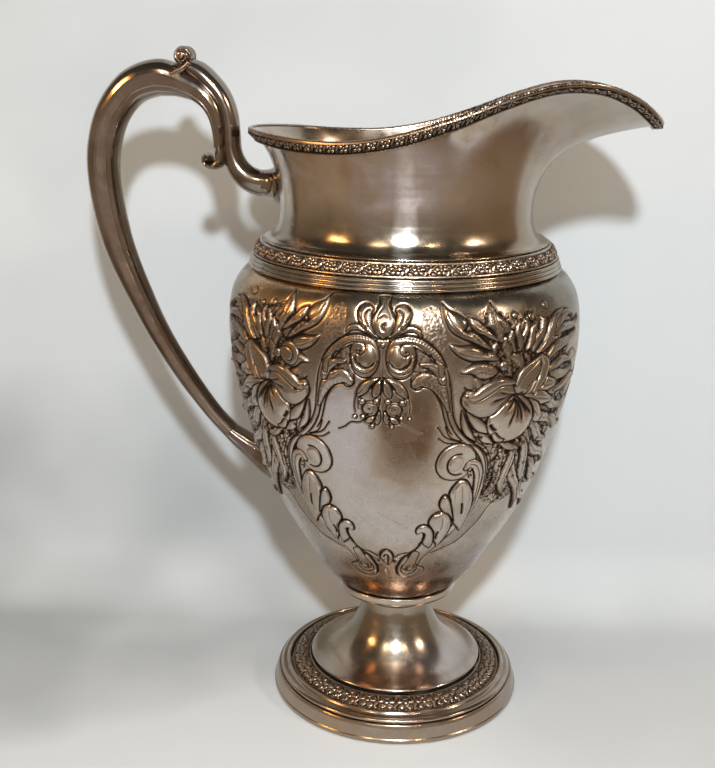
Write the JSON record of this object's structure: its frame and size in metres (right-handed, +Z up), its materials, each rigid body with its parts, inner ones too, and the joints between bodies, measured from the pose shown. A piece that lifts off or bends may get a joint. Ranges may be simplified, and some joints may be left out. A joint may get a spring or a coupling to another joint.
{
  "type": "silver water pitcher",
  "caption": "Footed silver water pitcher: vase-shaped chased body with floral sprays and a blank cartouche, broad pouring lip and hollow double-scroll handle.",
  "frame": {"origin": "on the surface the pitcher stands on, under the middle of its overall length from the handle to the tip of the lip and of its width; the body's own axis stands at x = +0.018 m", "axes": "+Z up, +X towards the pouring lip, -X towards the handle; the blank cartouche faces -Y"},
  "size_m": [0.2312, 0.1446, 0.2719],
  "materials": {
    "plain_silver": "polished sheet silver with a soft brown patina and fine scratches",
    "chased_silver": "chased and matted silver with near-black oxide in the recesses and bright worn high points",
    "cast_silver": "polished silver handle with a warm brown patina"
  },
  "bodies": {
    "root": {"body_shell": "chased_silver", "shoulder_reeding": "plain_silver", "shoulder_band": "chased_silver", "neck_and_lip": "plain_silver", "lip_border": "chased_silver", "handle_near_half": "cast_silver", "handle_far_half": "cast_silver", "handle_upper_strand": "cast_silver", "thumb_scroll": "cast_silver", "inner_scroll": "cast_silver", "handle_upper_socket": "cast_silver", "handle_lower_tail": "cast_silver", "body_collar": "plain_silver", "foot_stem": "plain_silver", "foot_border": "chased_silver", "foot_moulding": "plain_silver", "foot_rim": "plain_silver", "foot_base_wire": "plain_silver"}
  },
  "joints": []
}
